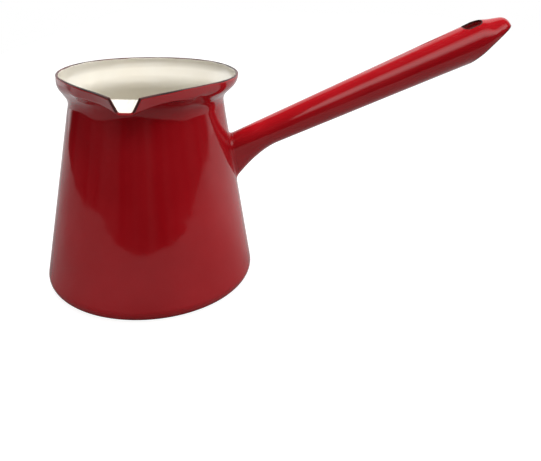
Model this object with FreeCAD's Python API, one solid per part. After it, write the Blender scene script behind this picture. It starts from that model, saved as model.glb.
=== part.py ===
"""Enamelled steel coffee pot with a pouring beak and a hollow handle.

The frame is in millimetres: Z up from the middle of the base, the handle along +X, the beak along -Y.
"""
import FreeCAD, Part
import math
import os
from FreeCAD import Vector

# walls
SHEET = 0.6                  # drawn steel sheet, pot and handle alike
COAT = 0.2                   # fired enamel on each side of it
EDGE = 0.5                   # dark enamel over the cut edges

# pot, round about its axis
POT_HEIGHT = 95.0            # table to rim
RIM_RADIUS = 40.0            # outside of the round part of the rim
FOOT_RADIUS = 47.3           # wall cone carried down to the table
NECK_RADIUS = 32.8           # wall cone where it would meet the flare
NECK_DROP = 11.0             # rim down to that corner
BAND_DROP = 4.0              # rim down to the corner between flare and upright band
FOOT_ROUND = 4.5
NECK_ROUND = 6.5
BAND_ROUND = 6.0

# beak: two flat wings that leave the round rim at a tangent, over a flat floor
MOUTH_REACH = 57.6           # axis of the pot to the open mouth
MOUTH_HALF = 6.31            # half of the mouth's width, at the rim
WING_LEAN = 20.0             # wing from upright
CREASE_DROP = 3.2            # rim down to the crease along each wing
UNDER_SLOPE = 55.0           # underside from the crease down to the floor, near the mouth
FLOOR_DROP = 6.0             # rim down to the underside of the floor
FLOOR_HALF = 2.8             # half of the floor's width at the mouth
FLOOR_TURN = 4.4             # each side of the floor to the wing above it, in plan
BEAK_ROOT = 25.0             # the beak's form starts this far out, inside the round form
CREASE_ROUND = 1.6
FLOOR_ROUND = 2.2

# handle: lengths along its own line from the root mark, heights square to that line
HANDLE_TILT = 24.8
ROOT_MARK_X = 68.0
ROOT_MARK_Z = 74.9
TUBE_RADIUS = 6.65           # at the root mark
TUBE_TAPER = 0.0222          # gain in radius along the tube
TIP_REACH = 101.3
TIP_FLAT = 4.6               # radius at which the dome would meet the flat of the tip
TIP_ROUND = 4.2
DOME_LENGTH = 11.3           # tip back to where the dome would meet the tube
DOME_ROUND = 24.0
FLARE_REACH = -15.0          # the underside widens from here to the pot
FLARE_DEPTH = 11.4           # how far the underside has widened at the end of the form
FLARE_POWER = 1.6
FLARE_RINGS = 4
ROOT_REACH = -43.0           # the form is carried this far into the pot before it is trimmed
END_CUT_LENGTH = 20.9        # tip back to where the slanting open end starts, on the underside
END_CUT_SLOPE = 24.6
SLOT_BACK = 15.9             # tip back to the middle of the hanging slot
SLOT_LENGTH = 11.0
SLOT_WIDTH = 6.5
SEAM_WIDTH = 1.4
BEAD_WIDTH = 1.2

FAR = 400.0
SPARE = 2.0                  # forms stand this far past the planes that trim them

# worked out from the sizes above
WING_ANGLE = math.asin(RIM_RADIUS / math.hypot(MOUTH_REACH, MOUTH_HALF))
WING_ANGLE -= math.atan2(MOUTH_HALF, MOUTH_REACH)
FLOOR_ANGLE = WING_ANGLE - math.radians(FLOOR_TURN)
DOME_REACH = TIP_REACH - DOME_LENGTH
END_CUT_REACH = TIP_REACH - END_CUT_LENGTH
SLOT_REACH = TIP_REACH - SLOT_BACK


def mix(a, b, share):
    return a + (b - a) * share


def cross_of(p, way_p, q, way_q):
    """Where two straight runs meet, each given by a point and a heading."""
    turn = math.sin(way_q - way_p)
    run = ((q[0] - p[0]) * math.sin(way_q) - (q[1] - p[1]) * math.cos(way_q)) / turn
    return (p[0] + run * math.cos(way_p), p[1] + run * math.sin(way_p))


def moved_in(points, depths):
    """Corners of a profile with each run moved to its left by its own depth."""
    ways = [math.atan2(b[1] - a[1], b[0] - a[0]) for a, b in zip(points, points[1:])]
    shifts = [(-d * math.sin(w), d * math.cos(w)) for d, w in zip(depths, ways)]
    on_run = [(p[0] + s[0], p[1] + s[1]) for p, s in zip(points, shifts)]
    inner = [cross_of(on_run[k], ways[k], on_run[k + 1], ways[k + 1]) for k in range(len(ways) - 1)]
    last = (points[-1][0] + shifts[-1][0], points[-1][1] + shifts[-1][1])
    return on_run[:1] + inner + [last]


def rounded_edges(points, rounds):
    """Lines and arcs through the corners of a profile in the XZ plane; a round for each inner corner."""
    edges = []
    start = points[0]
    for before, at, after, radius in zip(points, points[1:], points[2:], rounds):
        into = math.atan2(at[1] - before[1], at[0] - before[0])
        out = math.atan2(after[1] - at[1], after[0] - at[0])
        turn = math.remainder(out - into, 2.0 * math.pi)
        run = radius * math.tan(abs(turn) / 2.0)
        side = math.copysign(radius, turn)
        first = (at[0] - run * math.cos(into), at[1] - run * math.sin(into))
        centre = (first[0] - side * math.sin(into), first[1] + side * math.cos(into))
        ways = (into + turn / 2.0, out)
        half, last = [(centre[0] + side * math.sin(w), centre[1] - side * math.cos(w)) for w in ways]
        edges.append(Part.makeLine(*[Vector(x, 0.0, z) for x, z in (start, first)]))
        edges.append(Part.Arc(*[Vector(x, 0.0, z) for x, z in (first, half, last)]).toShape())
        start = last
    edges.append(Part.makeLine(*[Vector(x, 0.0, z) for x, z in (start, points[-1])]))
    return edges


def turned(points, rounds, back, axis):
    """Solid turned from a rounded profile that is closed by a straight line back along the axis."""
    ends = [Vector(p[0], 0.0, p[1]) for p in (points[-1], back, points[0])]
    edges = rounded_edges(points, rounds)
    edges += [Part.makeLine(a, b) for a, b in zip(ends, ends[1:]) if a.distanceToPoint(b) > 1.0e-6]
    return Part.Face(Part.Wire(edges)).revolve(Vector(0, 0, 0), axis, 360.0)


def round_form(depth):
    """The round of the pot, filled: base, rounded foot, tapered wall, flare and upright band."""
    top = POT_HEIGHT + SPARE
    corners = [(0.0, 0.0), (FOOT_RADIUS, 0.0), (NECK_RADIUS, POT_HEIGHT - NECK_DROP)]
    corners += [(RIM_RADIUS, POT_HEIGHT - BAND_DROP), (RIM_RADIUS, top)]
    rounds = (FOOT_ROUND - depth, NECK_ROUND + depth, BAND_ROUND - depth)
    return turned(moved_in(corners, [depth] * 4), rounds, (0.0, top), Vector(0, 0, 1))


def beak_section(reach, depth):
    """Outline across the beak at a reach: leaning wings, sloping undersides and floor, with round corners."""
    plan = WING_ANGLE
    lean = math.radians(WING_LEAN)
    step = math.tan(lean) / math.cos(plan)
    rim = (RIM_RADIUS - reach * math.sin(plan)) / math.cos(plan)
    floor = FLOOR_HALF + (MOUTH_REACH - reach) * math.tan(FLOOR_ANGLE)
    half = [(floor, -FLOOR_DROP), (rim - step * CREASE_DROP, -CREASE_DROP)]
    half.append((rim + step * 2.0 * SPARE, 2.0 * SPARE))
    outline = [(-x, POT_HEIGHT + z) for x, z in reversed(half)]
    outline += [(x, POT_HEIGHT + z) for x, z in half]
    under = math.radians(UNDER_SLOPE)
    ups = (math.cos(lean), math.sin(under))
    wing, slope = [depth / math.sqrt(1.0 - (math.sin(plan) * up) ** 2) for up in ups]
    outline = moved_in(outline, (wing, slope, depth, slope, wing))
    rounds = [r - depth for r in (CREASE_ROUND, FLOOR_ROUND, FLOOR_ROUND, CREASE_ROUND)]
    edges = rounded_edges(outline, rounds)
    edges.append(Part.makeLine(edges[-1].Vertexes[-1].Point, edges[0].Vertexes[0].Point))
    wire = Part.Wire(edges)
    wire.translate(Vector(0, -reach, 0))
    return wire


def beak_form(depth):
    """The beak, filled: a straight tray from inside the round form to just past the mouth."""
    ends = (BEAK_ROOT, MOUTH_REACH + SPARE / 2.0)
    return Part.makeLoft([beak_section(reach, depth) for reach in ends], True, True)


def pot_form(depth):
    """The pot as a filled form with its skin moved in by a depth; it stands past the rim and the mouth."""
    return round_form(depth).fuse(beak_form(depth)).removeSplitter()


def tube_radius(reach):
    return TUBE_RADIUS + TUBE_TAPER * reach


def in_handle_frame(shape):
    """Carries a shape from the handle's own line (x along it, z square to it) to its place."""
    shape.rotate(Vector(0, 0, 0), Vector(0, 1, 0), -HANDLE_TILT)
    shape.translate(Vector(ROOT_MARK_X, 0.0, ROOT_MARK_Z))
    return shape


def handle_form(depth):
    """The handle, filled: a tapered round tube with a domed tip and a root that widens downwards."""
    corners = [(TIP_REACH, 0.0), (TIP_REACH, TIP_FLAT), (DOME_REACH, tube_radius(DOME_REACH))]
    corners += [(FLARE_REACH, tube_radius(FLARE_REACH))]
    points = moved_in(corners, [depth] * 3)
    points[-1] = (FLARE_REACH, tube_radius(FLARE_REACH) - depth)
    tube = turned(points, (TIP_ROUND - depth, DOME_ROUND - depth), (FLARE_REACH, 0.0), Vector(1, 0, 0))
    rings = []
    for step in range(FLARE_RINGS + 1):
        reach = mix(FLARE_REACH, ROOT_REACH, step / FLARE_RINGS)
        across = tube_radius(reach) - depth
        down = across + FLARE_DEPTH * (step / FLARE_RINGS) ** FLARE_POWER
        left, right = Vector(reach, -across, 0), Vector(reach, across, 0)
        upper = Part.Arc(left, Vector(reach, 0, across), right).toShape()
        if step:
            oval = Part.Ellipse(Vector(reach, 0, -down), right, Vector(reach, 0, 0))
            low = min(oval.parameter(right), oval.parameter(left))
            lower = oval.toShape(low, low + math.pi)
            if lower.valueAt(low + math.pi / 2.0).z > 0.0:
                lower = oval.toShape(low + math.pi, low + 2.0 * math.pi)
        else:
            lower = Part.Arc(right, Vector(reach, 0, -across), left).toShape()
        rings.append(Part.Wire([upper, lower]))
    root = Part.makeLoft(rings, True, False)
    return in_handle_frame(tube.fuse(root))


def block(x0, x1, y0, y1, z0, z1):
    return Part.makeBox(x1 - x0, y1 - y0, z1 - z0, Vector(x0, y0, z0))


def pot_room(back):
    """Everything behind the mouth and under the rim, less a strip for the edge enamel."""
    return block(-FAR, FAR, -MOUTH_REACH + back, FAR, -FAR, POT_HEIGHT - back)


def end_waste(back):
    """Everything under the slanting end of the handle, moved in by a strip for the edge enamel."""
    cutter = block(-FAR, FAR, -FAR, FAR, -FAR, back)
    cutter.rotate(Vector(0, 0, 0), Vector(0, 1, 0), -END_CUT_SLOPE)
    cutter.translate(Vector(END_CUT_REACH, 0.0, -tube_radius(END_CUT_REACH)))
    return in_handle_frame(cutter)


def slot_prism(grow):
    """The hanging slot as a round-ended prism through the top of the handle only."""
    half = SLOT_WIDTH / 2.0 + grow
    run = SLOT_LENGTH - SLOT_WIDTH
    tall = tube_radius(TIP_REACH)
    middle = block(SLOT_REACH - run / 2.0, SLOT_REACH + run / 2.0, -half, half, 0.0, tall)
    ends = [Part.makeCylinder(half, tall, Vector(SLOT_REACH + k * run / 2.0, 0, 0)) for k in (-1, 1)]
    return in_handle_frame(middle.fuse(ends).removeSplitter())


def build():
    wall = SHEET + COAT
    pot_outer, pot_inner, pot_hollow = [pot_form(d) for d in (0.0, wall, wall + COAT)]
    tube_outer, tube_hollow = [handle_form(d) for d in (0.0, wall)]
    room, full_room = pot_room(EDGE), pot_room(0.0)
    open_end = end_waste(EDGE)
    slot, slot_rim = slot_prism(0.0), slot_prism(EDGE)

    body = pot_outer.common(room).cut(pot_inner)
    lining = pot_inner.common(room).cut(pot_hollow)
    rim = pot_outer.common(full_room).cut(room).cut(pot_hollow)

    barrel = round_form(0.0)
    tube_wall = tube_outer.cut(barrel).cut(tube_hollow)
    tube = tube_wall.cut(open_end).cut(slot_rim)
    strip = SEAM_WIDTH / 2.0
    seam = in_handle_frame(block(-FAR, FAR, -strip, strip, -FAR, -TUBE_RADIUS / 2.0))
    end_edge = tube_wall.cut(end_waste(0.0)).common(open_end)
    slot_edge = tube_wall.common(slot_rim).cut(slot).cut(open_end)
    bead = handle_form(-BEAD_WIDTH).cut(tube_outer).common(round_form(-BEAD_WIDTH)).cut(barrel)
    return {
        "pot_body": body,
        "pot_lining": lining,
        "rim_edge": rim,
        "handle_tube": tube.cut(seam),
        "handle_seam": tube.common(seam),
        "handle_end_edge": end_edge,
        "slot_edge": slot_edge,
        "handle_root_bead": bead,
    }


os.makedirs("parts", exist_ok=True)
for name, shape in build().items():
    shape.exportStep("parts/" + name + ".step")
    print(name, len(shape.Solids), shape.isValid(), round(shape.Volume, 2))
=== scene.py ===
"""Looks of an enamelled coffee pot: red outside, cream inside, dark rim, pouring beak and hollow handle."""
import math

import bmesh
import bpy
import numpy as np
from mathutils import Matrix, Vector


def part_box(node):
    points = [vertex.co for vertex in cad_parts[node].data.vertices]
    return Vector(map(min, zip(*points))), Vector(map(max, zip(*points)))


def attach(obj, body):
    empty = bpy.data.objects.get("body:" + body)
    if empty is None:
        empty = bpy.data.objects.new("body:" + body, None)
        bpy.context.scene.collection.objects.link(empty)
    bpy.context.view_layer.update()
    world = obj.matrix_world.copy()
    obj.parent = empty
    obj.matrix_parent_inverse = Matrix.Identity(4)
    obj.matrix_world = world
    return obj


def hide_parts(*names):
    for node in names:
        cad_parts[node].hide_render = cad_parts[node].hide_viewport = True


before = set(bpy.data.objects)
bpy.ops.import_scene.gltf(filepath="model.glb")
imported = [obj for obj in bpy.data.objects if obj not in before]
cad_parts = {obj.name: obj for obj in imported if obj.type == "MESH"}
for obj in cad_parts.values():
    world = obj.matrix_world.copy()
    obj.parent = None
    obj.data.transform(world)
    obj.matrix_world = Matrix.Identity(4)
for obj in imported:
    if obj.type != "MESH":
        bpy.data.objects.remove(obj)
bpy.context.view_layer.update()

bl_info = {
    "name": "Enamelled coffee pot",
    "version": (1, 0, 0),
    "blender": (4, 5, 0),
    "location": "3D View > Sidebar > Coffee pot",
    "description": "Builds the enamel skins, rim and handle of a coffee pot around its packed CAD part",
    "category": "Add Mesh",
}

RIM_LOW, RIM_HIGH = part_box("rim_edge")
MM = 0.001
IMAGE_WIDTH = 541                   # pixels of the picture that the camera is fitted to
IMAGE_HEIGHT = 461

# How finely the pieces are divided
MOUTH_COLUMNS, WING_COLUMNS, BACK_COLUMNS = 41, 40, 49
BASE_ROWS, FOOT_ROWS, WALL_ROWS, UPPER_ROWS = 5, 19, 17, 61
EDGE_ROWS = 13
ROOT_COLUMNS, ROOT_ROWS = 96, 11
HALVINGS = 40                       # steps of a search by halving
TURN_STEP, RUN_STEP = 1.0e-4, 1.0e-5    # steps over which slopes of the skin are taken
SHORTEST_NORMAL = 1.0e-20           # keeps a normal without length from being divided by zero
MERGE_DISTANCE = 1.0e-6             # corners of CAD triangles this close are one

# Form of the pot
MOUTH_INSET = 0.1 * MM              # the mouth stays this far inside the CAD's box
PRESSED_SIDE = math.radians(-92.0), math.radians(75.0)  # middle and half width of each hump, as turns from the beak
HANDLE_SIDE = math.radians(95.0), math.radians(55.0)
BACK_SIDE = math.radians(155.0), math.radians(55.0)
HANDLE_PRESS = 0.15                 # share of the side press that the handle's side gets
PRESSED_SLANT = 0.7                 # share of the flare slant that the pressed side gets
BAND_SLANT = 0.8                    # share of it that the flare's upper corner follows
WING_BLEND = 0.10                   # share of the beak's reach over which the wings take over from the round rim
NOSE_START = 0.65                   # share of the beak's reach at which the rounding of the nose sets in
SHOULDER_ROUND = 100.0 * MM         # between the straight wall and its last run up to the neck
RIM_SPARE = 2.0 * MM                # the profile runs on this far above the rim
RUN_SHORTEST, RUN_LONGEST = 60.0 * MM, 190.0 * MM   # the rim lies between these lengths along the profile
EDGE_WAVES = ((0.25, 7.0, 1.0), (0.2, 19.0, 2.3))   # height, count round the pot and start of each wave
MOUTH_SPREAD = 0.3                  # half width of the closely divided mouth, as a share of how far out the wings start
BASE_START = 8.0 * MM               # first ring of the base
FOOT_LEAD, FOOT_SPAN = 6.0 * MM, 14.0 * MM  # rows are close from this far before the foot's corner, for this length
SHOULDER_LEAD = 4.0 * MM            # rows are close again from this far below the shoulder

# Form of the handle
TOP_SPREAD = math.radians(100.0)    # turn on both sides of the tube's top over which the slot's turn fades
LOW_START, LOW_FADE = 1.0 * MM, 5.0 * MM    # the end draws back below this height over the line, fully that much lower
SLOT_HALF = 7.5 * MM                # up to here from its middle the slot closes up fully, then less, over as much again
SKIN_CREASE, EDGE_CREASE = 30.0, 40.0   # degrees past which an edge stays sharp
ROOT_LIFT = 0.03 * MM               # the fillet's curve is lifted by this, clear of the tube's top
ROOT_SUNK = 0.4 * MM                # its hidden corner lies this far inside the wall
ROOT_LOWEST = -43.0 * MM            # the tube meets the wall between here and its mark

# Enamel
ENAMEL_IOR = 1.52
CLOUD_SCALE, CLOUD_DETAIL, CLOUD_RANGE = 38.0, 4.0, (0.35, 0.65)
SPECK_SCALE, SPECK_DETAIL, SPECK_RANGE = 1400.0, 2.0, (0.3, 0.7)
PEEL_SCALE, PEEL_DETAIL, PEEL_STRENGTH = 60.0, 1.5, 0.5
RED_SURFACE = (0.07, 0.02, 0.0006)  # roughness, what the specks add to it, and depth of the orange peel
CREAM_SURFACE = (0.08, 0.03, 0.00006)
DARK_SURFACE = (0.4, 0.1, 0.00003)
RIM_SURFACE = (0.35, 0.1, 0.00003)
BARE_START, BARE_FULL = 4.6 * MM, 5.4 * MM  # below the rim, where the dark coat of the mouth gives way to red

# Stage
POT_MIDDLE = (0.02, 0.0, 0.06)      # what the softboxes face
HANDLE_MIDDLE = (0.12, 0.0, 0.1)    # what the window faces
SOFTBOXES = {                       # place, width, height and watts
    "softbox_top": ((0.0, 0.05, 0.9), 0.5, 0.5, 6.5),
    "softbox_right": ((0.7, 0.1, 0.4), 0.5, 0.5, 1.5),
    "softbox_low": ((-0.5, -0.3, 0.08), 0.4, 0.12, 0.4),
}
WINDOW_X, WINDOW_Y, WINDOW_Z, WINDOW_STEP = 0.30, -0.54, 0.57, 0.01
WINDOW_WIDTH = 1.0
WINDOW_HEIGHTS = (0.28, 0.46, 0.64)
WINDOW_WATTS = 1.9                  # per metre of height
SENSOR_WIDTH = 36.0                 # millimetres
NEAREST_SEEN = 0.01                 # near limit of the camera
FLOOR_LEFT, FLOOR_RIGHT, FLOOR_FRONT, FLOOR_BACK = -0.33, 0.9, -0.245, 2.0
FLOOR_ROUGHNESS = 0.9
WHITE_HEADING = (0.242, 0.970, 0.0)     # level direction from the room past the pot to the white behind it
WHITE_FLOOR = (-0.05, 0.15)         # along that heading, where the mirrored floor starts to brighten and is bright
WHITE_WORLD = (0.30, 0.50)          # the same for the world, as the share of a ray that goes along the heading
ROOM_STRETCH = (1.0, 1.0, 0.15)     # draws the room's shapes out into upright streaks
ROOM_SCALE, ROOM_RANGE, ROOM_CONTRAST = 4.0, (0.4, 0.7), 3.0


def length(name, description, default):
    """Property for a length in metres."""
    return bpy.props.FloatProperty(name=name, description=description, default=default, unit="LENGTH", precision=5)


def angle(name, description, degrees):
    """Property for an angle, whose default is given in degrees."""
    return bpy.props.FloatProperty(
        name=name, description=description, default=math.radians(degrees), subtype="ANGLE")


def share(name, description, default):
    """Property for a share between 0 and 1."""
    return bpy.props.FloatProperty(name=name, description=description, default=default, min=0.0, max=1.0)


def colour(name, description, default):
    """Property for a colour without transparency."""
    return bpy.props.FloatVectorProperty(
        name=name, description=description, default=default, size=3, subtype="COLOR", min=0.0, max=1.0)


class PotSizes(bpy.types.PropertyGroup):
    """Sizes of the pot, from its base up to the rim and out to the mouth of the beak."""
    height: length("Height", "Table to rim", RIM_HIGH.z)
    rim: length("Rim radius", "Outside of the round part of the rim", RIM_HIGH.x)
    mouth: length("Mouth reach", "Axis of the pot to the open mouth", -RIM_LOW.y - MOUTH_INSET)
    foot: length("Foot radius", "Wall cone carried down to the table", 47.28 * MM)
    neck: length("Neck radius", "Wall cone where it would meet the flare", 32.8 * MM)
    foot_round: length("Foot rounding", "Between base and wall", 4.5 * MM)
    neck_drop: length("Neck drop", "Rim down to the neck, at the back", 11.0 * MM)
    neck_drop_wing: length("Neck drop at the wings", "Rim down to the neck, where the wings start", 10.2 * MM)
    neck_drop_nose: length("Neck drop at the beak", "Rim down to the neck, under the beak", 4.6 * MM)
    neck_round: length("Neck rounding", "Between wall and flare, at the back", 6.5 * MM)
    neck_round_wing: length("Neck rounding at the wings", "Between wall and flare, where the wings start", 9.5 * MM)
    neck_round_nose: length("Neck rounding at the beak", "Between wall and flare, under the beak", 7.5 * MM)
    band_drop: length("Band drop", "Rim down to the flare's upper corner, at the back", 4.0 * MM)
    band_drop_wing: length("Crease drop", "Rim down to the crease where the wings start", 3.3 * MM)
    band_drop_nose: length("Floor drop", "Rim down to the beak's floor at its nose", 6.1 * MM)
    band_round: length("Band rounding", "At the flare's upper corner, at the back", 6.0 * MM)
    band_round_wing: length("Crease rounding", "Along the wings", 0.9 * MM)
    band_round_nose: length("Floor rounding", "At the nose of the beak", 1.6 * MM)
    beak_half_angle: angle("Wing angle", "Each wing to the beak's own line", 38.0)
    nose_round: length("Nose rounding", "Plan rounding that the mouth cuts off", 3.0 * MM)
    nose_lean: length("Nose lean", "Lean of the wings at the nose", 4.3 * MM)
    wall: length("Wall", "Sheet with its outer enamel", 0.8 * MM)
    coat: length("Lining", "Cream enamel", 0.2 * MM)
    edge: length("Edge", "Width of the dark enamel on cut edges", 0.35 * MM)
    press: length("Side press", "How far the rim is pressed in on the side away from the handle", 3.5 * MM)
    draw: length("Back draw", "How far the rim stands out at the back", 2.1 * MM)
    slant: length("Flare slant", "How much higher the flare starts on the handle's side", 1.3 * MM)


class HandleSizes(bpy.types.PropertyGroup):
    """Sizes of the handle's root, and of what is bent near its tip, along the handle's own line."""
    tilt: angle("Tilt", "Handle above the level", 24.8)
    mark_x: length("Mark X", "Where lengths along the handle start", 68.0 * MM)
    mark_z: length("Mark Z", "Height of that mark", 74.9 * MM)
    radius: length("Tube radius", "At the mark", 6.65 * MM)
    taper: share("Taper", "Gain in radius along the tube", 0.0222)
    flare_from: length("Flare start", "Where the underside starts to widen", -15.0 * MM)
    flare_length: length("Flare length", "From there to the end of the widened form", 28.0 * MM)
    flare_depth: length("Flare depth", "How far the underside has widened there", 11.4 * MM)
    flare_power: bpy.props.FloatProperty(name="Flare power", description="How late the underside widens", default=1.6)
    slot_turn: angle("Slot turn", "How far the slot sits towards the beak's side", 11.0)
    slot_from: length("Slot turn start", "Where the tube's top starts to turn", 55.0 * MM)
    slot_to: length("Slot turn end", "Where the tube's top is back in line", 101.0 * MM)
    slot_fade: length("Slot turn fade", "Length over which it turns", 16.0 * MM)
    slot_middle: length("Slot middle", "Along the handle", 85.4 * MM)
    slot_shut: share("Slot shortening", "Share of the slot's length that closes up", 0.22)
    end_draw: length("End draw", "How far the underside draws back at the open end", 2.6 * MM)
    end_from: length("End draw start", "Where the tube starts to draw back", 60.0 * MM)
    end_fade: length("End draw fade", "Length over which it does", 24.0 * MM)
    fillet: length("Root fillet", "Enamel that fills the corner at the pot", 1.8 * MM)


class Finish(bpy.types.PropertyGroup):
    """Colours of the three enamels."""
    red: colour("Red enamel", "Outside and handle", (0.50, 0.009, 0.015))
    red_deep: colour("Deep red", "Where the red enamel lies thicker", (0.45, 0.006, 0.011))
    cream: colour("Cream enamel", "Inside", (0.84, 0.805, 0.715))
    cream_warm: colour("Warm cream", "Where the lining is thinner", (0.81, 0.76, 0.65))
    dark: colour("Dark enamel", "Cut edges", (0.020, 0.008, 0.006))
    dark_brown: colour("Brown edge", "Where the dark enamel is thin", (0.12, 0.016, 0.014))


class StageSettings(bpy.types.PropertyGroup):
    """Camera and light."""
    camera_place: bpy.props.FloatVectorProperty(
        name="Camera", description="Place of the camera", size=3, default=(0.03253, -0.24092, 0.13533),
        subtype="TRANSLATION")
    yaw: angle("Yaw", "View to the right of straight ahead", 5.247)
    pitch: angle("Pitch", "View below the level", 16.467)
    roll: angle("Roll", "Camera turned about its line of sight", 1.749)
    focal: bpy.props.FloatProperty(name="Focal length", description="In pixels of the picture", default=551.36)
    axis_row: bpy.props.FloatProperty(name="Axis row", description="Pixel row of the line of sight", default=140.0)
    floor_colour: colour("Floor", "Plain pale floor", (0.26, 0.26, 0.26))
    floor_seen: share("Floor seen", "White added to the floor where the camera sees it", 0.92)
    floor_mirrored: share("Floor mirrored", "White added behind the pot where the enamel mirrors the floor", 0.30)
    room_level: share("Room", "Brightness of the room in front of the pot", 0.03)


def soft_step(x):
    """Goes from 0 to 1 with level ends."""
    x = np.clip(x, 0.0, 1.0)
    return x * x * (3.0 - 2.0 * x)


def mix(a, b, amount):
    """Goes from a to b as the amount goes from 0 to 1."""
    return a + (b - a) * amount


def turned_from(turn, middle):
    """How far a turn is from a middle turn, the shorter way round."""
    return np.abs(np.mod(turn - middle + math.pi, 2.0 * math.pi) - math.pi)


def hump(turn, middle, width):
    """One hump round a line: 1 at a middle turn, falling to 0 at a width on both sides of it."""
    return soft_step(1.0 - turned_from(turn, middle) / width)


def rim_plan(size):
    """Plan of the rim: angle where the wings leave the circle, centre of the nose, its tip and where its arc ends."""
    tangent = math.pi / 2.0 - size.beak_half_angle
    centre = (size.rim - size.nose_round) / math.cos(tangent)
    ends = math.atan2(size.nose_round * math.sin(tangent), centre + size.nose_round * math.cos(tangent))
    return tangent, centre, centre + size.nose_round, ends


def rim_reach(size, turn):
    """Distance from the axis to the rim: a circle at the back, its two tangent lines along the wings and an arc at the
    nose. The turn is measured from the beak."""
    tangent, centre, _, ends = rim_plan(size)
    away = turned_from(turn, 0.0)
    line = size.rim / np.cos(np.minimum(away, tangent) - tangent)
    inside = np.maximum(size.nose_round ** 2 - (centre * np.sin(away)) ** 2, 0.0)
    nose = centre * np.cos(away) + np.sqrt(inside)
    return np.where(away >= tangent, size.rim, np.where(away >= ends, line, nose))


def wall_taper(size):
    """How much the wall's radius shrinks with height."""
    return (size.foot - size.neck) / (size.height - size.neck_drop)


def along_rounded(corners, rounds, run):
    """Points at given lengths along a profile of straight runs joined by arcs. Each piece adds the part of itself that
    the length has passed: a run adds its heading times the length, an arc adds the chord that it has turned through."""
    ways = [np.arctan2(b[1] - a[1], b[0] - a[0]) for a, b in zip(corners, corners[1:])]
    spans = [np.hypot(b[0] - a[0], b[1] - a[1]) for a, b in zip(corners, corners[1:])]
    turns = [np.mod(b - a + math.pi, 2.0 * math.pi) - math.pi for a, b in zip(ways, ways[1:])]
    cuts = [radius * np.tan(np.abs(turn) / 2.0) for radius, turn in zip(rounds, turns)]
    zero = np.zeros_like(spans[0])
    before, after = [zero] + cuts, cuts + [zero]
    r, z = corners[0][0] + zero * run, corners[0][1] + zero * run
    done = zero
    for k, (way, span) in enumerate(zip(ways, spans)):
        straight = np.maximum(span - before[k] - after[k], 0.0)
        last = k == len(spans) - 1
        part = np.clip(run - done, 0.0, None if last else straight)
        r, z = r + part * np.cos(way), z + part * np.sin(way)
        done = done + straight
        if not last:
            side = rounds[k] * np.sign(turns[k])
            bend = np.clip((run - done) / rounds[k], 0.0, np.abs(turns[k])) * np.sign(turns[k])
            r = r + side * (np.sin(way + bend) - np.sin(way))
            z = z - side * (np.cos(way + bend) - np.cos(way))
            done = done + rounds[k] * np.abs(turns[k])
    return r, z


def pot_profile(size, turn, run):
    """Radius and height of the pot's outside at a turn from the beak and a length along the profile from the middle of
    the base: flat base, rounded foot, straight wall, rounded neck, flare, rounded crease and upright band. Humps round
    the pot press the rim in on one side, draw it out at the back and start the flare at uneven heights."""
    tangent, _, tip, ends = rim_plan(size)
    reach = rim_reach(size, turn)
    out = (reach - size.rim) / (tip - size.rim)
    wing = soft_step(out / WING_BLEND)
    nose = soft_step((out - NOSE_START) / (1.0 - NOSE_START))
    on_wing = np.clip(tangent - turned_from(turn, 0.0), 0.0, tangent - ends)
    along = np.clip(np.tan(on_wing) / math.tan(tangent - ends), 0.0, 1.0)
    zero = np.zeros_like(turn)
    pressed, by_handle, back = (hump(turn, *place) for place in (PRESSED_SIDE, HANDLE_SIDE, BACK_SIDE))
    reach = reach - size.press * (pressed + HANDLE_PRESS * by_handle) + size.draw * back
    slant = size.slant * (PRESSED_SLANT * pressed - by_handle)
    neck_z = size.height - mix(mix(size.neck_drop, size.neck_drop_wing, wing), size.neck_drop_nose, out) - slant
    crease = mix(size.band_drop_wing, size.band_drop_nose, along)
    band_z = size.height - mix(size.band_drop, crease, wing) - BAND_SLANT * slant
    shoulder_z = size.height - size.neck_drop - size.neck_round
    shoulder = (zero + size.foot - wall_taper(size) * shoulder_z, zero + shoulder_z)
    band_r = reach - size.nose_lean * out
    rise = (reach - band_r) / (size.height - band_z)
    top = (reach + rise * RIM_SPARE, zero + size.height + RIM_SPARE)
    corners = [(zero, zero), (zero + size.foot, zero), shoulder, (zero + size.neck, neck_z), (band_r, band_z), top]
    rounds = [
        zero + size.foot_round,
        zero + SHOULDER_ROUND,
        mix(mix(size.neck_round, size.neck_round_wing, wing), size.neck_round_nose, out),
        mix(mix(size.band_round, size.band_round_wing, wing), size.band_round_nose, nose),
    ]
    return along_rounded(corners, rounds, run)


def pot_points(size, turn, run, depth):
    """Points of the pot's skin moved in by a depth along its normal, which is the cross product of the skin's slopes
    round the pot and up its profile, taken over small steps."""
    def place(t, s):
        r, z = pot_profile(size, t, s)
        return np.stack([r * np.sin(t), -r * np.cos(t), z], axis=-1)
    sideways = place(turn + TURN_STEP, run) - place(turn - TURN_STEP, run)
    upward = place(turn, run + RUN_STEP) - place(turn, run - RUN_STEP)
    normal = np.cross(sideways, upward)
    normal /= np.maximum(np.linalg.norm(normal, axis=-1, keepdims=True), SHORTEST_NORMAL)
    return place(turn, run) - normal * np.asarray(depth)[..., None]


def edge_run(size, turn, back):
    """Length along each profile at which it reaches the rim or the mouth, each moved back by a strip, by halving."""
    low, high = np.full_like(turn, RUN_SHORTEST), np.full_like(turn, RUN_LONGEST)
    for _ in range(HALVINGS):
        half = (low + high) / 2.0
        r, z = pot_profile(size, turn, half)
        past = (z > size.height - back) | (r * np.cos(turn) > size.mouth - back)
        low, high = np.where(past, low, half), np.where(past, half, high)
    return (low + high) / 2.0


def edge_width(size, turn):
    """Width of the dark edge, which waves round the pot make uneven."""
    return size.edge * (1.0 + sum(high * np.sin(count * turn + start) for high, count, start in EDGE_WAVES))


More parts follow.
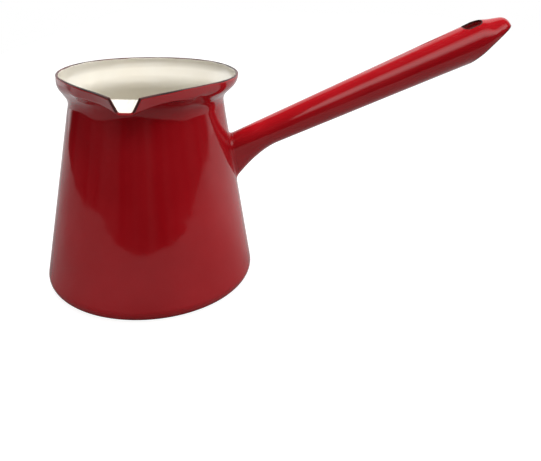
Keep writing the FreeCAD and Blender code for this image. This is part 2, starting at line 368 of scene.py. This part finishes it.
def pot_turns(size):
    """Turns round the pot, one column each: closest together at the mouth, even along the wings, wider at the back."""
    tangent = rim_plan(size)[0]
    mouth = math.atan2(size.rim * math.cos(tangent) * MOUTH_SPREAD, size.mouth)
    wings = tangent - np.arctan(np.linspace(math.tan(tangent - mouth), 0.0, WING_COLUMNS))
    half = np.concatenate([
        np.linspace(0.0, mouth, MOUTH_COLUMNS)[:-1], wings[:-1], np.linspace(tangent, math.pi, BACK_COLUMNS)])
    return np.concatenate([half, (2.0 * math.pi - half[1:-1])[::-1]])[:, None]


def pot_runs(size, turn, back):
    """Lengths along the profile for the rows of a skin: base, foot, wall, then even steps from shoulder to edge."""
    foot_start = size.foot - FOOT_LEAD
    base = np.linspace(BASE_START, foot_start, BASE_ROWS)[:-1]
    foot = foot_start + np.linspace(0.0, FOOT_SPAN, FOOT_ROWS)
    shoulder = size.foot + size.height - size.neck_drop - size.neck_round - SHOULDER_LEAD
    wall = np.linspace(foot[-1], shoulder, WALL_ROWS)[1:]
    lower = np.concatenate([base, foot, wall])[None, :] + np.zeros_like(turn)
    edge = edge_run(size, turn, back)
    upper = shoulder + (edge - shoulder) * np.linspace(0.0, 1.0, UPPER_ROWS)[None, 1:]
    return np.concatenate([lower, upper], axis=1)


def new_object(name, points, faces):
    """Mesh object at the origin from an array of points and a list of face index arrays, shaded smooth."""
    mesh = bpy.data.meshes.new(name)
    mesh.from_pydata(points.tolist(), [], [f for group in faces for f in group.tolist()])
    mesh.polygons.foreach_set("use_smooth", np.ones(len(mesh.polygons), bool))
    mesh.update()
    made = bpy.data.objects.new(name, mesh)
    bpy.context.scene.collection.objects.link(made)
    return made


def grid_quads(columns, rows, wrap_rows):
    """Faces of a grid of points, column by column, closed round its columns and, if asked, round its rows."""
    c = np.arange(columns)[:, None]
    k = np.arange(rows if wrap_rows else rows - 1)[None, :]
    nxt, up = (c + 1) % columns, (k + 1) % rows
    quads = np.stack([c * rows + k, nxt * rows + k, nxt * rows + up, c * rows + up], axis=-1)
    return quads.reshape(-1, 4)


def shell(name, rows, first_pole, last_pole):
    """Closed skin from columns of rows, with a fan of triangles to a pole at each end."""
    columns, count, _ = rows.shape
    points = np.concatenate([rows.reshape(-1, 3), [first_pole, last_pole]])
    c = np.arange(columns)
    nxt = (c + 1) % columns
    first = np.stack([np.full(columns, columns * count), nxt * count, c * count], axis=-1)
    last = np.stack([np.full(columns, columns * count + 1), c * count + count - 1, nxt * count + count - 1], axis=-1)
    return new_object(name, points, [grid_quads(columns, count, False), first, last])


def ring(name, rows):
    """Closed ring from columns whose rows go once round its section."""
    columns, count, _ = rows.shape
    return new_object(name, rows.reshape(-1, 3), [grid_quads(columns, count, True)])


def wall_pair(size, outer, inner):
    """Columns that climb the skin at one depth and come back down at another."""
    turn = pot_turns(size)
    runs = pot_runs(size, turn, edge_width(size, turn))
    sides = [pot_points(size, turn + np.zeros_like(runs), runs, np.full_like(runs, d)) for d in (outer, inner)]
    return np.concatenate([sides[0], sides[1][:, ::-1]], axis=1)


def handle_place(handle, run, side, up):
    """Points from lengths along the handle's line, to its side and up from it."""
    c, s = math.cos(handle.tilt), math.sin(handle.tilt)
    return np.stack([handle.mark_x + run * c - up * s, side, handle.mark_z + run * s + up * c], axis=-1)


def slid_end(handle, points):
    """Points of the handle slid along its own surface near the tip. In the tube's own frame, with a length along it, a
    distance from its line and a turn about that line, the top turns towards the beak's side round the slot, the slot
    closes up along the tube and the lower half draws back at the open end."""
    c, s = math.cos(handle.tilt), math.sin(handle.tilt)
    x, z = points[:, 0] - handle.mark_x, points[:, 2] - handle.mark_z
    run, up = x * c + z * s, z * c - x * s
    far, turn = np.hypot(points[:, 1], up), np.arctan2(-points[:, 1], up)
    turn_starts = soft_step((run - handle.slot_from) / handle.slot_fade)
    turn_ends = soft_step((handle.slot_to - run) / handle.slot_fade)
    near_slot = turn_starts * turn_ends
    on_top = hump(turn, 0.0, TOP_SPREAD)
    low = soft_step((LOW_START - up) / LOW_FADE)
    from_slot = run - handle.slot_middle
    shut = handle.slot_shut * soft_step(2.0 - np.abs(from_slot) / SLOT_HALF) * soft_step(2.0 * on_top)
    run = run - shut * from_slot
    run = run - handle.end_draw * soft_step((run - handle.end_from) / handle.end_fade) * low
    turn = turn + handle.slot_turn * near_slot * on_top
    return handle_place(handle, run, -far * np.sin(turn), far * np.cos(turn))


def smooth_copy(node, name, crease_degrees):
    """Copy of one of the handle's CAD nodes with its loose triangles merged, slid near the tip and shaded smooth except
    across sharp edges."""
    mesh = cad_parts[node].data.copy()
    work = bmesh.new()
    work.from_mesh(mesh)
    bmesh.ops.remove_doubles(work, verts=work.verts, dist=MERGE_DISTANCE)
    for edge in work.edges:
        edge.smooth = len(edge.link_faces) == 2 and edge.calc_face_angle(0.0) < math.radians(crease_degrees)
    for face in work.faces:
        face.smooth = True
    work.to_mesh(mesh)
    work.free()
    spots = np.empty(len(mesh.vertices) * 3)
    mesh.vertices.foreach_get("co", spots)
    mesh.vertices.foreach_set("co", slid_end(bpy.context.scene.coffee_pot_handle, spots.reshape(-1, 3)).ravel())
    mesh.update()
    mesh.name = name
    mesh.materials.clear()
    made = bpy.data.objects.new(name, mesh)
    bpy.context.scene.collection.objects.link(made)
    return made


def add_node(tree, kind, values, **settings):
    """New shader node with its settings, and then the values of its inputs by name or number."""
    made = tree.nodes.new(kind)
    for setting, value in settings.items():
        setattr(made, setting, value)
    for socket, value in values.items():
        made.inputs[socket].default_value = value
    return made


def map_from(low, high):
    """Inputs of a Map Range node that starts and ends at these values."""
    return {"From Min": low, "From Max": high}


def enamel(name, thin, thick, surface):
    """Fired enamel: colour drifts between two shades in soft clouds, with fine specks in its gloss and a faint orange
    peel."""
    roughness, grain, dent = surface
    made = bpy.data.materials.new(name)
    made.use_nodes = True
    tree = made.node_tree
    link = tree.links.new
    shader = tree.nodes["Principled BSDF"]
    shader.inputs["IOR"].default_value = ENAMEL_IOR
    where = add_node(tree, "ShaderNodeTexCoord", {})
    cloud = add_node(tree, "ShaderNodeTexNoise", {"Scale": CLOUD_SCALE, "Detail": CLOUD_DETAIL})
    speck = add_node(tree, "ShaderNodeTexNoise", {"Scale": SPECK_SCALE, "Detail": SPECK_DETAIL})
    peel = add_node(tree, "ShaderNodeTexNoise", {"Scale": PEEL_SCALE, "Detail": PEEL_DETAIL})
    for texture in (cloud, speck, peel):
        link(where.outputs["Object"], texture.inputs["Vector"])
    spread = add_node(tree, "ShaderNodeMapRange", map_from(*CLOUD_RANGE))
    link(cloud.outputs["Fac"], spread.inputs["Value"])
    tint = add_node(tree, "ShaderNodeMix", {"A": (*thin, 1.0), "B": (*thick, 1.0)}, data_type="RGBA")
    link(spread.outputs["Result"], tint.inputs["Factor"])
    link(tint.outputs["Result"], shader.inputs["Base Color"])
    gloss = add_node(
        tree, "ShaderNodeMapRange", {**map_from(*SPECK_RANGE), "To Min": roughness, "To Max": roughness + grain})
    link(speck.outputs["Fac"], gloss.inputs["Value"])
    link(gloss.outputs["Result"], shader.inputs["Roughness"])
    bump = add_node(tree, "ShaderNodeBump", {"Strength": PEEL_STRENGTH, "Distance": dent})
    link(peel.outputs["Fac"], bump.inputs["Height"])
    link(bump.outputs["Normal"], shader.inputs["Normal"])
    return made


def red_enamel():
    """Red enamel of pot and handle, made once."""
    finish = bpy.context.scene.coffee_pot_finish
    return bpy.data.materials.get("fired_red") or enamel("fired_red", finish.red, finish.red_deep, RED_SURFACE)


def cream_enamel():
    """Cream enamel of the lining."""
    finish = bpy.context.scene.coffee_pot_finish
    return enamel("fired_cream", finish.cream, finish.cream_warm, CREAM_SURFACE)


def dark_enamel():
    """Dark enamel on the handle's cut edges, made once."""
    finish = bpy.context.scene.coffee_pot_finish
    return bpy.data.materials.get("fired_dark") or enamel(
        "fired_dark", finish.dark, finish.dark_brown, DARK_SURFACE)


def rim_enamel():
    """Dark enamel that has run off the floor of the mouth, where the red shows."""
    finish = bpy.context.scene.coffee_pot_finish
    height = bpy.context.scene.coffee_pot_sizes.height
    made = enamel("fired_rim", finish.dark, finish.dark_brown, RIM_SURFACE)
    tree = made.node_tree
    link = tree.links.new
    shader = tree.nodes["Principled BSDF"]
    tint = shader.inputs["Base Color"].links[0].from_node
    split = add_node(tree, "ShaderNodeSeparateXYZ", {})
    link(tree.nodes["Texture Coordinate"].outputs["Object"], split.inputs["Vector"])
    low = add_node(tree, "ShaderNodeMapRange", map_from(height - BARE_START, height - BARE_FULL))
    link(split.outputs["Z"], low.inputs["Value"])
    bare = add_node(tree, "ShaderNodeMix", {"B": (*finish.red, 1.0)}, data_type="RGBA")
    link(low.outputs["Result"], bare.inputs["Factor"])
    link(tint.outputs["Result"], bare.inputs["A"])
    link(bare.outputs["Result"], shader.inputs["Base Color"])
    return made


def dress(piece, material, node):
    """Gives a piece its enamel, sets it on the pot and hides the CAD node it stands for."""
    piece.data.materials.append(material)
    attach(piece, "root")
    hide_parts(node)


class POT_OT_body(bpy.types.Operator):
    """Red outside of the pot: the skin of its profile, turned round the axis and drawn out into the beak"""
    bl_idname = "coffee_pot.body"
    bl_label = "Pot body"

    def execute(self, context):
        size = context.scene.coffee_pot_sizes
        rows = wall_pair(size, 0.0, size.wall)
        piece = shell("pot_shell", rows, (0.0, 0.0, 0.0), (0.0, 0.0, size.wall))
        dress(piece, red_enamel(), "pot_body")
        return {"FINISHED"}


class POT_OT_lining(bpy.types.Operator):
    """Cream lining of the pot: the same skin, one wall further in"""
    bl_idname = "coffee_pot.lining"
    bl_label = "Lining"

    def execute(self, context):
        size = context.scene.coffee_pot_sizes
        start, end = size.wall, size.wall + size.coat
        piece = shell("pot_inside", wall_pair(size, start, end), (0.0, 0.0, start), (0.0, 0.0, end))
        dress(piece, cream_enamel(), "pot_lining")
        return {"FINISHED"}


class POT_OT_rim(bpy.types.Operator):
    """Dark enamel on the cut edge: a half round over the wall's thickness, carried along rim and mouth"""
    bl_idname = "coffee_pot.rim"
    bl_label = "Rim edge"

    def execute(self, context):
        size = context.scene.coffee_pot_sizes
        turn = pot_turns(size)
        start, end = edge_run(size, turn, edge_width(size, turn)), edge_run(size, turn, 0.0)
        sweep = np.linspace(0.0, math.pi, EDGE_ROWS)[None, :]
        across = (size.wall + size.coat) / 2.0
        depth = across * (1.0 - np.cos(sweep)) + np.zeros_like(turn)
        runs = start + (end - start) * np.sin(sweep)
        rows = pot_points(size, turn + np.zeros_like(runs), runs, depth)
        dress(ring("rim_line", rows), rim_enamel(), "rim_edge")
        return {"FINISHED"}


class POT_OT_handle(bpy.types.Operator):
    """Hollow handle with its seam and the dark edges of its slot and its open end"""
    bl_idname = "coffee_pot.handle"
    bl_label = "Handle"

    def execute(self, context):
        for node, name in (("handle_tube", "handle_skin"), ("handle_seam", "handle_seam_skin")):
            dress(smooth_copy(node, name, SKIN_CREASE), red_enamel(), node)
        for node, name in (("slot_edge", "slot_line"), ("handle_end_edge", "handle_end_line")):
            dress(smooth_copy(node, name, EDGE_CREASE), dark_enamel(), node)
        return {"FINISHED"}


class POT_OT_root(bpy.types.Operator):
    """Fillet of enamel where the handle meets the pot: for each direction round the handle, a parabola that leaves the
    tube and lands on the wall, both at a tangent"""
    bl_idname = "coffee_pot.root"
    bl_label = "Handle root"

    def execute(self, context):
        handle = context.scene.coffee_pot_handle
        size = context.scene.coffee_pot_sizes
        round_it = np.linspace(0.0, 2.0 * math.pi, ROOT_COLUMNS + 1)[:-1, None]
        seat = self.seat_run(handle, size, round_it)
        corner = self.tube_point(handle, round_it, seat, 0.0)
        on_tube = self.tube_point(handle, round_it, seat + handle.fillet, 0.0)
        outward = self.tube_point(handle, round_it, seat, handle.fillet)
        on_wall = self.to_wall(size, outward)
        t = np.linspace(0.0, 1.0, ROOT_ROWS)[None, :, None]
        curve = (1.0 - t) ** 2 * on_tube + 2.0 * t * (1.0 - t) * corner + t ** 2 * on_wall
        curve[..., 2] += ROOT_LIFT
        rows = np.concatenate([curve, corner - np.array([ROOT_SUNK, 0.0, 0.0])], axis=1)
        dress(ring("handle_fillet", rows), red_enamel(), "handle_root_bead")
        return {"FINISHED"}

    @staticmethod
    def tube_point(handle, round_it, run, grow):
        """Point on the tube: a circle above, an ellipse that widens towards the pot below."""
        across = handle.radius + handle.taper * run + grow
        along = np.maximum(handle.flare_from - run, 0.0) / handle.flare_length
        gain = handle.flare_depth * along ** handle.flare_power
        side, up = across * np.sin(round_it), across * np.cos(round_it)
        up = np.where(up < 0.0, up * (across + gain) / across, up)
        return handle_place(handle, run, side, up)

    @staticmethod
    def wall_radius(size, z):
        """Radius of the straight wall at a height."""
        return size.foot - wall_taper(size) * z

    def seat_run(self, handle, size, round_it):
        """Length along the tube at which each of its lines meets the wall, found by halving."""
        low, high = np.full_like(round_it, ROOT_LOWEST), np.zeros_like(round_it)
        for _ in range(HALVINGS):
            half = (low + high) / 2.0
            p = self.tube_point(handle, round_it, half, 0.0)
            inside = np.hypot(p[..., 0], p[..., 1]) < self.wall_radius(size, p[..., 2])
            low, high = np.where(inside, half, low), np.where(inside, high, half)
        return (low + high) / 2.0

    def to_wall(self, size, points):
        """Points carried square to the axis onto the wall."""
        scale = self.wall_radius(size, points[..., 2]) / np.hypot(points[..., 0], points[..., 1])
        return points * np.stack([scale, scale, np.ones_like(scale)], axis=-1)


def lamp(name, place, target, width, height, watts):
    """Rectangular lamp that faces a target."""
    data = bpy.data.lights.new(name, "AREA")
    data.shape = "RECTANGLE"
    data.size, data.size_y = width, height
    data.energy = watts
    made = bpy.data.objects.new(name, data)
    made.location = place
    made.rotation_mode = "QUATERNION"
    made.rotation_quaternion = (Vector(target) - Vector(place)).to_track_quat("-Z", "Y")
    bpy.context.scene.collection.objects.link(made)
    return made


def softbox(name):
    """Lamp over or beside the pot that the enamel doesn't mirror."""
    place, width, height, watts = SOFTBOXES[name]
    lamp(name, place, POT_MIDDLE, width, height, watts).visible_glossy = False


class POT_OT_stage(bpy.types.Operator):
    """Pale floor, soft studio light and the camera"""
    bl_idname = "coffee_pot.stage"
    bl_label = "Stage"

    def execute(self, context):
        stage = context.scene.coffee_pot_stage
        self.floor(stage)
        self.world(context.scene, stage)
        softbox("softbox_top")
        self.windows()
        softbox("softbox_right")
        softbox("softbox_low")
        self.camera(context.scene, stage)
        context.scene.view_settings.view_transform = "Standard"
        return {"FINISHED"}

    @staticmethod
    def windows():
        """Three lamps over one another, the mirrored window that is brightest along its middle."""
        for number, tall in enumerate(WINDOW_HEIGHTS):
            place = (WINDOW_X, WINDOW_Y, WINDOW_Z + WINDOW_STEP * number)
            lamp(f"window_{number}", place, HANDLE_MIDDLE, WINDOW_WIDTH, tall, WINDOW_WATTS * tall)

    @staticmethod
    def camera(scene, stage):
        """Camera at its place, turned by yaw, pitch and roll, with its line of sight off the picture's middle row."""
        data = bpy.data.cameras.new("camera")
        data.sensor_width = SENSOR_WIDTH
        data.lens = stage.focal * data.sensor_width / IMAGE_WIDTH
        data.shift_y = (stage.axis_row - IMAGE_HEIGHT / 2.0) / IMAGE_WIDTH
        data.clip_start = NEAREST_SEEN
        made = bpy.data.objects.new("camera", data)
        cy, sy, cp, sp = math.cos(stage.yaw), math.sin(stage.yaw), math.cos(stage.pitch), math.sin(stage.pitch)
        ahead = Vector((sy * cp, cy * cp, -sp))
        right = Vector((cy, -sy, 0.0))
        up = right.cross(ahead)
        level = Matrix((right, up, -ahead)).transposed()
        made.matrix_world = Matrix.Translation(stage.camera_place) @ (
            level @ Matrix.Rotation(stage.roll, 3, "Z")).to_4x4()
        scene.collection.objects.link(made)
        scene.camera = made

    @staticmethod
    def floor(stage):
        """Pale sheet, white to the camera, that the enamel mirrors brighter behind the pot than in front of it."""
        spots = np.array([
            (FLOOR_LEFT, FLOOR_FRONT, 0.0), (FLOOR_RIGHT, FLOOR_FRONT, 0.0),
            (FLOOR_RIGHT, FLOOR_BACK, 0.0), (FLOOR_LEFT, FLOOR_BACK, 0.0)])
        made = new_object("floor", spots, [np.array([[0, 1, 2, 3]])])
        material = bpy.data.materials.new("pale_floor")
        material.use_nodes = True
        tree = material.node_tree
        link = tree.links.new
        shader = tree.nodes["Principled BSDF"]
        shader.inputs["Base Color"].default_value = (*stage.floor_colour, 1.0)
        shader.inputs["Roughness"].default_value = FLOOR_ROUGHNESS
        glow = add_node(tree, "ShaderNodeEmission", {})
        path = add_node(tree, "ShaderNodeLightPath", {})
        where = add_node(tree, "ShaderNodeTexCoord", {})
        depth = add_node(tree, "ShaderNodeVectorMath", {1: WHITE_HEADING}, operation="DOT_PRODUCT")
        link(where.outputs["Object"], depth.inputs[0])
        behind = add_node(
            tree, "ShaderNodeMapRange", {**map_from(*WHITE_FLOOR), "To Max": stage.floor_mirrored},
            interpolation_type="SMOOTHSTEP")
        link(depth.outputs["Value"], behind.inputs["Value"])
        mirrored = add_node(tree, "ShaderNodeMath", {}, operation="MULTIPLY")
        link(path.outputs["Is Glossy Ray"], mirrored.inputs[0])
        link(behind.outputs["Result"], mirrored.inputs[1])
        amount = add_node(tree, "ShaderNodeMath", {1: stage.floor_seen}, operation="MULTIPLY_ADD")
        link(path.outputs["Is Camera Ray"], amount.inputs[0])
        link(mirrored.outputs["Value"], amount.inputs[2])
        link(amount.outputs["Value"], glow.inputs["Strength"])
        both = add_node(tree, "ShaderNodeAddShader", {})
        link(shader.outputs["BSDF"], both.inputs[0])
        link(glow.outputs["Emission"], both.inputs[1])
        link(both.outputs["Shader"], tree.nodes["Material Output"].inputs["Surface"])
        made.data.materials.append(material)

    @staticmethod
    def world(scene, stage):
        """White behind the pot, falling to a dim streaked room in front of it, by the heading of each ray."""
        made = bpy.data.worlds.new("studio")
        made.use_nodes = True
        tree = made.node_tree
        link = tree.links.new
        where = add_node(tree, "ShaderNodeTexCoord", {})
        heading = add_node(tree, "ShaderNodeVectorMath", {1: WHITE_HEADING}, operation="DOT_PRODUCT")
        link(where.outputs["Generated"], heading.inputs[0])
        stretch = add_node(tree, "ShaderNodeVectorMath", {1: ROOM_STRETCH}, operation="MULTIPLY")
        link(where.outputs["Generated"], stretch.inputs[0])
        shapes = add_node(tree, "ShaderNodeTexNoise", {"Scale": ROOM_SCALE})
        link(stretch.outputs["Vector"], shapes.inputs["Vector"])
        room = add_node(
            tree, "ShaderNodeMapRange",
            {**map_from(*ROOM_RANGE), "To Min": 0.0, "To Max": ROOM_CONTRAST * stage.room_level})
        link(shapes.outputs["Fac"], room.inputs["Value"])
        fade = add_node(
            tree, "ShaderNodeMapRange", {**map_from(*WHITE_WORLD), "To Max": 1.0}, interpolation_type="SMOOTHSTEP")
        link(heading.outputs["Value"], fade.inputs["Value"])
        link(room.outputs["Result"], fade.inputs["To Min"])
        path = add_node(tree, "ShaderNodeLightPath", {})
        level = add_node(tree, "ShaderNodeMath", {}, operation="MAXIMUM")
        link(fade.outputs["Result"], level.inputs[0])
        link(path.outputs["Is Camera Ray"], level.inputs[1])
        link(level.outputs["Value"], tree.nodes["Background"].inputs["Strength"])
        tree.nodes["Background"].inputs["Color"].default_value = (1.0, 1.0, 1.0, 1.0)
        scene.world = made


class POT_PT_panel(bpy.types.Panel):
    """Lists the pieces of the pot"""
    bl_idname = "POT_PT_panel"
    bl_label = "Coffee pot"
    bl_space_type = "VIEW_3D"
    bl_region_type = "UI"
    bl_category = "Coffee pot"

    def draw(self, context):
        for step in STEPS:
            self.layout.operator(step.bl_idname)


STEPS = (POT_OT_body, POT_OT_lining, POT_OT_rim, POT_OT_handle, POT_OT_root, POT_OT_stage)
GROUPS = {
    "coffee_pot_sizes": PotSizes,
    "coffee_pot_handle": HandleSizes,
    "coffee_pot_finish": Finish,
    "coffee_pot_stage": StageSettings,
}


def register():
    for item in (*GROUPS.values(), *STEPS, POT_PT_panel):
        bpy.utils.register_class(item)
    for name, group in GROUPS.items():
        setattr(bpy.types.Scene, name, bpy.props.PointerProperty(type=group))


def unregister():
    for name in GROUPS:
        delattr(bpy.types.Scene, name)
    for item in reversed((*GROUPS.values(), *STEPS, POT_PT_panel)):
        bpy.utils.unregister_class(item)


def main():
    register()
    bpy.ops.coffee_pot.body()
    bpy.ops.coffee_pot.lining()
    bpy.ops.coffee_pot.rim()
    bpy.ops.coffee_pot.handle()
    bpy.ops.coffee_pot.root()
    bpy.ops.coffee_pot.stage()


if __name__ == "__main__":
    main()
